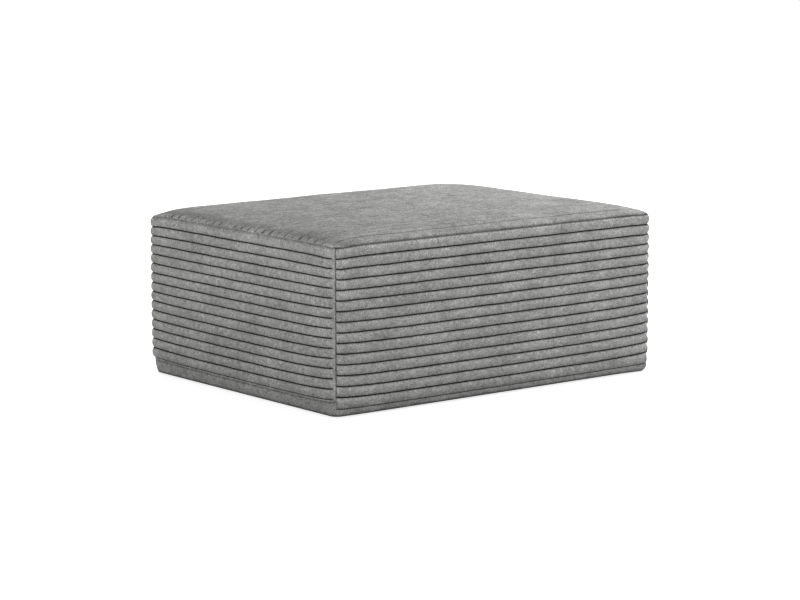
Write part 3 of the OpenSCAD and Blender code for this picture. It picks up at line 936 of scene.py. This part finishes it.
def dust_sheet():
    """Black non-woven sheet stapled under the hem, with openings for the glides' bosses."""
    low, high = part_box("dust_cover")
    shape = sheet_shape(high)
    thick = high.z - low.z
    glides_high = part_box("glides")[1]
    lines = []
    for size, outermost in ((high.x, glides_high.x), (high.y, glides_high.y)):
        middle = outermost - GLIDE_R
        inner = np.linspace(0, middle - OPENING_HALF, INNER_LINES)
        outer = np.linspace(middle + OPENING_HALF, size, OUTER_LINES)
        half = np.concatenate([inner, outer])
        lines.append(np.concatenate([-half[:0:-1], half]))
    x, y = np.meshgrid(*lines)
    x = x * half_len_at(y, shape) / shape[0]
    middle_sag = (1 - (x / shape[0]) ** 2) * (1 - (y / shape[1]) ** 2)
    wrinkle = 0.15 * MM * noise(x / (60 * MM), y / (60 * MM), 81)
    z = low.z - (1.2 * MM + wrinkle) * smooth(middle_sag * 3)
    under = np.stack([x, y, z], -1).reshape(-1, 3)
    upper = np.stack([x, y, z + thick], -1).reshape(-1, 3)
    number = np.arange(x.size).reshape(x.shape)
    keep = np.ones((x.shape[0] - 1, x.shape[1] - 1), bool)
    openings = [OUTER_LINES - 1, -OUTER_LINES]
    keep[np.ix_(openings, openings)] = False
    faces, open_edges = [], {}
    for i, j in np.argwhere(keep):
        ring = [number[i, j], number[i, j + 1], number[i + 1, j + 1], number[i + 1, j]]
        ring = [int(v) for v in ring]
        faces.append(ring[::-1])
        faces.append([v + x.size for v in ring])
        for a, b in zip(ring, ring[1:] + ring[:1]):
            if not open_edges.pop((b, a), False):
                open_edges[(a, b)] = True
    for a, b in open_edges:
        faces.append([a, b, b + x.size, a + x.size])
    points = np.concatenate([under, upper])
    made = piece("dust_sheet", points, faces, "dust_cloth", ["dust_cover"])


# Materials


def new_material(name):
    """A material with an empty node tree."""
    made = bpy.data.materials.new(name)
    made.use_nodes = True
    made.node_tree.nodes.clear()
    return made


def add(tree, kind, **inputs):
    """A node with some of its inputs set by name. Words with a capital are sockets."""
    made = tree.nodes.new(kind)
    for key, value in inputs.items():
        if key[0].isupper():
            made.inputs[key.replace("_", " ")].default_value = value
        else:
            setattr(made, key, value)
    return made


def wire(tree, start, end):
    """Joins an output to an input. Each is a node and the name or number of its socket."""
    tree.links.new(start[0].outputs[start[1]], end[0].inputs[end[1]])


def ranged(tree, source, low, high, **more):
    """A factor between two values, from one between 0 and 1 where no more is said."""
    made = add(tree, "ShaderNodeMapRange", To_Min=low, To_Max=high, **more)
    wire(tree, source, (made, "Value"))
    return made


def new_finish(name, roughness, metallic=0.0):
    """A material with its node tree, its shader and its texture coordinates."""
    made = new_material(name)
    tree = made.node_tree
    shader = add(tree, "ShaderNodeBsdfPrincipled", Roughness=roughness, Metallic=metallic)
    out = add(tree, "ShaderNodeOutputMaterial")
    wire(tree, (shader, "BSDF"), (out, "Surface"))
    return made, tree, shader, add(tree, "ShaderNodeTexCoord")


# Most of a noise texture's values lie between these two
NOISE_LOW, NOISE_HIGH = 0.3, 0.7


def noise_band(tree, where, scale, spread, detail=2.0, stretch=(1, 1, 1)):
    """Noise as a factor round 1, over the object's own coordinates."""
    place = add(tree, "ShaderNodeMapping", Scale=stretch)
    wire(tree, (where, "Object"), (place, "Vector"))
    grain = add(tree, "ShaderNodeTexNoise", Scale=scale, Detail=detail)
    wire(tree, (place, 0), (grain, "Vector"))
    low, high = 1 - spread, 1 + spread
    return ranged(tree, (grain, 0), low, high, From_Min=NOISE_LOW, From_Max=NOISE_HIGH)


def times(tree, first, *others):
    """The product of two or more factors."""
    product = first
    for factor in others:
        made = add(tree, "ShaderNodeMath", operation="MULTIPLY")
        wire(tree, (product, 0), (made, 0))
        wire(tree, factor if isinstance(factor, tuple) else (factor, 0), (made, 1))
        product = made
    return product


def tinted(tree, shader, colour, *factors):
    """Gives a shader a colour scaled by some factors."""
    made = add(tree, "ShaderNodeVectorMath", operation="SCALE")
    made.inputs[0].default_value = colour
    wire(tree, (times(tree, *factors), 0), (made, "Scale"))
    wire(tree, (made, 0), (shader, "Base Color"))


def bumped(tree, shader, height, strength, distance):
    """Raises a shader's surface by a height from another node."""
    bump = add(tree, "ShaderNodeBump", Strength=strength, Distance=distance)
    wire(tree, (height, 0), (bump, "Height"))
    wire(tree, (bump, 0), (shader, "Normal"))


def corduroy():
    """Short velvety pile: fine speckle, tufts, streaks along the nap, and the painted shade and
    light of the shade attribute.
    """
    made, tree, shader, where = new_finish("corduroy", 0.95)
    shader.inputs["Specular IOR Level"].default_value = 0.08
    patches = noise_band(tree, where, 13, 0.135, detail=3)
    # Streaks along the nap, in the pile's own tone
    brushed_nap_and_painted_light = noise_band(tree, where, 55, 0.11, detail=3, stretch=(0.35, 1, 1))
    pile = noise_band(tree, where, 330, 0.42)
    tufts = noise_band(tree, where, 130, 0.19, stretch=(0.6, 0.6, 1))
    shade = add(tree, "ShaderNodeAttribute", attribute_name="shade")
    tinted(tree, shader, (0.37, 0.37, 0.362), patches, brushed_nap_and_painted_light, pile, tufts, (shade, "Fac"))
    bumped(tree, shader, pile, 0.6, 0.8 * MM)
    return made


def matt_stuff(name, colour, roughness, spread, bump_mm, scale=300, metallic=0.0):
    """A finish with a fine and a wide grain of noise in its colour and its surface."""
    made, tree, shader, where = new_finish(name, roughness, metallic)
    grain = noise_band(tree, where, scale, spread, detail=4)
    wide = noise_band(tree, where, scale / 12, spread / 2)
    tinted(tree, shader, colour, grain, wide)
    wire(tree, (ranged(tree, (grain, 0), roughness * 0.8, roughness), 0), (shader, "Roughness"))
    bumped(tree, shader, grain, 0.6, bump_mm * MM)
    return made


# Scale of the timber's figure along the grain
GRAIN_STRETCH = 0.05


def softwood(axis):
    """Planed softwood: growth rings and fine fibres drawn out along the grain."""
    made, tree, shader, where = new_finish("timber_" + axis.lower(), 0.6)
    stretch = tuple(GRAIN_STRETCH if letter == axis else 1 for letter in "XYZ")
    # The middle of the rings lies outside the rail
    along = add(tree, "ShaderNodeMapping", Scale=stretch, Location=(0.13, 0.07, 0.19))
    wire(tree, (where, "Object"), (along, "Vector"))
    rings = add(tree, "ShaderNodeTexWave", wave_type="RINGS", rings_direction=axis, Scale=55)
    rings.inputs["Distortion"].default_value = 5
    rings.inputs["Detail Scale"].default_value = 0.6
    wire(tree, (along, 0), (rings, "Vector"))
    ring = ranged(tree, (rings, 1), 0.72, 1.08)
    fibres = noise_band(tree, where, 420, 0.12, detail=3, stretch=stretch)
    wide = noise_band(tree, where, 14, 0.1, stretch=stretch)
    tinted(tree, shader, (0.60, 0.39, 0.19), ring, fibres, wide)
    bumped(tree, shader, fibres, 0.4, 0.15 * MM)
    return made


# Half a wave of a wave texture of scale 1, which stands for one thread
HALF_WAVE = 1 / 6.3


def woven(name, colour, thread):
    """Cloth woven of threads that run both ways, with a twill of lighter crossings."""
    made, tree, shader, where = new_finish(name, 0.85)
    bands = []
    for axis in "XY":
        band = add(tree, "ShaderNodeTexWave", wave_type="BANDS", bands_direction=axis)
        band.inputs["Scale"].default_value = HALF_WAVE / thread
        band.inputs["Distortion"].default_value = 0.6
        wire(tree, (where, "Object"), (band, "Vector"))
        bands.append(ranged(tree, (band, 1), 0.35, 1.3))
    weave = times(tree, *bands)
    wear = noise_band(tree, where, 60, 0.2, detail=3)
    tinted(tree, shader, colour, weave, wear)
    bumped(tree, shader, weave, 0.7, 0.4 * MM)
    return made


def cellular(name, colour, scale, bump_mm):
    """Open cells or pressed dots, from the distance to scattered points."""
    made, tree, shader, where = new_finish(name, 0.95)
    cells = add(tree, "ShaderNodeTexVoronoi", Scale=scale)
    wire(tree, (where, "Object"), (cells, "Vector"))
    pores = ranged(tree, (cells, "Distance"), 0.78, 1.1)
    wide = noise_band(tree, where, 18, 0.06, detail=3)
    tinted(tree, shader, colour, pores, wide)
    bumped(tree, shader, pores, 0.7, bump_mm * MM)
    return made


def fibrous(name, colour, scale, spread, bump_mm):
    """Loose fibres that lie in two directions, as in wadding and felt."""
    made, tree, shader, where = new_finish(name, 1.0)
    one_way = noise_band(tree, where, scale, spread, detail=4, stretch=(0.15, 1, 0.6))
    other_way = noise_band(tree, where, scale, spread, detail=4, stretch=(1, 0.2, 0.6))
    clumps = noise_band(tree, where, scale / 14, spread / 2)
    fibres = times(tree, one_way, other_way)
    bumped(tree, shader, fibres, 0.8, bump_mm * MM)
    tinted(tree, shader, colour, fibres, clumps)
    return made


FIBREBOARD = (0.17, 0.085, 0.035)
STEEL = (0.6, 0.6, 0.58)
BLACK = (0.008, 0.008, 0.009)
MATERIALS = {
    "corduroy": corduroy(),
    "wadding": fibrous("wadding", (0.80, 0.80, 0.79), scale=260, spread=0.08, bump_mm=1.2),
    "foam": cellular("foam", (0.80, 0.73, 0.50), scale=700, bump_mm=0.5),
    "felt": fibrous("felt", (0.15, 0.14, 0.13), scale=380, spread=0.45, bump_mm=0.6),
    "webbing": woven("webbing", (0.030, 0.030, 0.033), thread=1.4 * MM),
    "fibreboard": matt_stuff("fibreboard", FIBREBOARD, 0.6, spread=0.14, bump_mm=0.1),
    "dust_cloth": cellular("dust_cloth", (0.011, 0.011, 0.012), scale=420, bump_mm=0.15),
    "glide_plastic": matt_stuff("glide_plastic", BLACK, 0.5, spread=0.15, bump_mm=0.05),
}
for name in ("screw_steel", "nail_steel"):
    MATERIALS[name] = matt_stuff(name, STEEL, 0.4, spread=0.06, bump_mm=0.05, metallic=1.0)
TIMBER = {axis: softwood(axis) for axis in "XYZ"}


def timber_for(name):
    """Softwood with its grain along the longest side of a piece."""
    low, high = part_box(name)
    size = list(high - low)
    return TIMBER["XYZ"[size.index(max(size))]]


for subpart in frame["record"]["subparts"]:
    node = frame["nodes"][subpart["node"]]
    slot = subpart["material_slot"]
    node.data.materials.clear()
    node.data.materials.append(timber_for(node.name) if slot == "timber" else MATERIALS[slot])

# The seam at the front left corner lies a little towards the front
SEAM_SHIFT = 2.8 * MM
PANELS = (
    SidePanel(
        "front",
        LONG_SIDE,
        ends=(
            End(1 * MM, draw=6 * MM, lift=7 * MM, pinch=0.15),
            End(1 * MM, draw=-3.5 * MM, lift=7 * MM, pinch=0.4, bulge=0.5 * MM, rounder=9 * MM),
        ),
        seed=11,
        extra=(-SEAM_SHIFT, 0),
        puckers=(-200 * MM, 196 * MM),
    ),
    SidePanel(
        "right",
        SHORT_SIDE,
        ends=(
            End(1 * MM, draw=-3.5 * MM, lift=6 * MM, pinch=0.1, bulge=1.5 * MM, rounder=9 * MM),
            End(8 * MM, draw=8 * MM, lift=7 * MM, pinch=0.3),
        ),
        seed=21,
    ),
    SidePanel(
        "back",
        LONG_SIDE,
        ends=(
            End(1 * MM, draw=8 * MM, lift=7 * MM, pinch=0.3),
            End(1 * MM, draw=8 * MM, lift=6 * MM, pinch=0.8),
        ),
        seed=31,
    ),
    SidePanel(
        "left",
        SHORT_SIDE,
        ends=(
            End(1 * MM, draw=7.5 * MM, lift=6 * MM, pinch=0.1, bulge=2 * MM),
            End(8 * MM, draw=6 * MM, lift=8.5 * MM, pinch=0.15),
        ),
        seed=41,
        extra=(0, SEAM_SHIFT),
    ),
)
for panel in PANELS:
    panel.make()
top_panel()
wadding_layer()
foam_block()
for panel in PANELS:
    side_foam(panel.side, panel.cloth.draw_h)
felt_sheet()
webbing("lengthwise_webbing", straps=5, crossings=7, lengthwise=True)
webbing("crosswise_webbing", straps=7, crossings=5, lengthwise=False)
dust_sheet()


# Studio


def seen_by(tree, *rays):
    """1 to some kinds of ray and 0 to the others."""
    path = add(tree, "ShaderNodeLightPath")
    found = (path, rays[0])
    for ray in rays[1:]:
        either = add(tree, "ShaderNodeMath", operation="MAXIMUM")
        wire(tree, found, (either, 0))
        wire(tree, (path, ray), (either, 1))
        found = (either, 0)
    return found


FLOOR_HALF = 40
# The floor glows from this level at the first distance up to white at the second
FLOOR_NEAR = 0.9
FLOOR_FAR = 2.2
FLOOR_LEVEL = 0.78


def studio_floor():
    """A white floor that also glows to the camera and in reflections, least round the pouf."""
    mesh = bpy.data.meshes.new("floor")
    corners = [(a * FLOOR_HALF, b * FLOOR_HALF, 0) for a, b in CORNERS]
    mesh.from_pydata(corners, [], [(0, 1, 2, 3)])
    floor = placed("floor", mesh)
    made = new_material("floor")
    tree = made.node_tree
    paint = add(tree, "ShaderNodeBsdfDiffuse", Color=(0.8, 0.8, 0.8, 1))
    glow = add(tree, "ShaderNodeEmission", Color=(1, 1, 1, 1))
    where = add(tree, "ShaderNodeTexCoord")
    away = add(tree, "ShaderNodeVectorMath", operation="LENGTH")
    wire(tree, (where, "Object"), (away, 0))
    fade = ranged(tree, (away, "Value"), FLOOR_LEVEL, 1.0, From_Min=FLOOR_NEAR, From_Max=FLOOR_FAR)
    fade.interpolation_type = "SMOOTHSTEP"
    strength = times(tree, fade, seen_by(tree, "Is Camera Ray", "Is Glossy Ray"))
    wire(tree, (strength, 0), (glow, "Strength"))
    both = add(tree, "ShaderNodeAddShader")
    wire(tree, (paint, 0), (both, 0))
    wire(tree, (glow, 0), (both, 1))
    out = add(tree, "ShaderNodeOutputMaterial")
    wire(tree, (both, 0), (out, "Surface"))
    mesh.materials.append(made)


def studio_world(level):
    """White to the camera and in reflections, and a plain soft level on the object."""
    world = bpy.data.worlds.new("studio")
    world.use_nodes = True
    tree = world.node_tree
    tree.nodes.clear()
    seen = seen_by(tree, "Is Camera Ray", "Is Glossy Ray", "Is Transmission Ray")
    mix = ranged(tree, seen, level, 1.0)
    glow = add(tree, "ShaderNodeBackground", Color=(1, 1, 1, 1))
    wire(tree, (mix, 0), (glow, "Strength"))
    out = add(tree, "ShaderNodeOutputWorld")
    wire(tree, (glow, 0), (out, "Surface"))
    bpy.context.scene.world = world


def area_light(name, place, target, size, power):
    """A rectangular lamp turned to a target."""
    data = bpy.data.lights.new(name, "AREA")
    data.shape = "RECTANGLE"
    data.size, data.size_y = size
    data.energy = power
    lamp = placed(name, data)
    lamp.location = place
    aim = Vector(target) - Vector(place)
    lamp.rotation_euler = aim.to_track_quat("-Z", "Y").to_euler()


def studio_camera(place, heading, tilt, roll, lens):
    """A level camera turned by a heading from +Y towards +X, tilted down, then rolled."""
    heading, tilt, roll = (math.radians(a) for a in (heading, tilt, roll))
    ahead = Vector(
        (math.sin(heading) * math.cos(tilt), math.cos(heading) * math.cos(tilt), -math.sin(tilt))
    )
    right = Vector((math.cos(heading), -math.sin(heading), 0))
    up = right.cross(ahead)
    turned_right = right * math.cos(roll) + up * math.sin(roll)
    turned_up = up * math.cos(roll) - right * math.sin(roll)
    matrix = Matrix((turned_right, turned_up, -ahead)).transposed().to_4x4()
    matrix.translation = place
    data = bpy.data.cameras.new("camera")
    data.lens = lens
    data.sensor_fit = "HORIZONTAL"
    data.clip_end = 60
    camera = placed("camera", data)
    camera.matrix_world = matrix
    bpy.context.scene.camera = camera


KEY_SIZE = (2.5, 2.5)
FILL_SIZE = (3.0, 1.8)

studio_floor()
studio_world(level=0.1)
area_light("key", (3.1, 0.3, 3.5), (0, 0, 0.3), KEY_SIZE, power=195)
area_light("front_fill", (1.5, -4.5, 1.1), (0.2, 0, 0.25), FILL_SIZE, power=74)
area_light("left_fill", (-4.4, -0.8, 1.1), (0, 0, 0.25), FILL_SIZE, power=74)
area_light("back_fill", (-0.6, 4.6, 1.3), (0, 0, 0.25), FILL_SIZE, power=45)
studio_camera((-4.3325, -5.4961, 1.2940), heading=38.24, tilt=8.983, roll=-0.105, lens=123.99)
bpy.context.scene.view_settings.view_transform = "Standard"
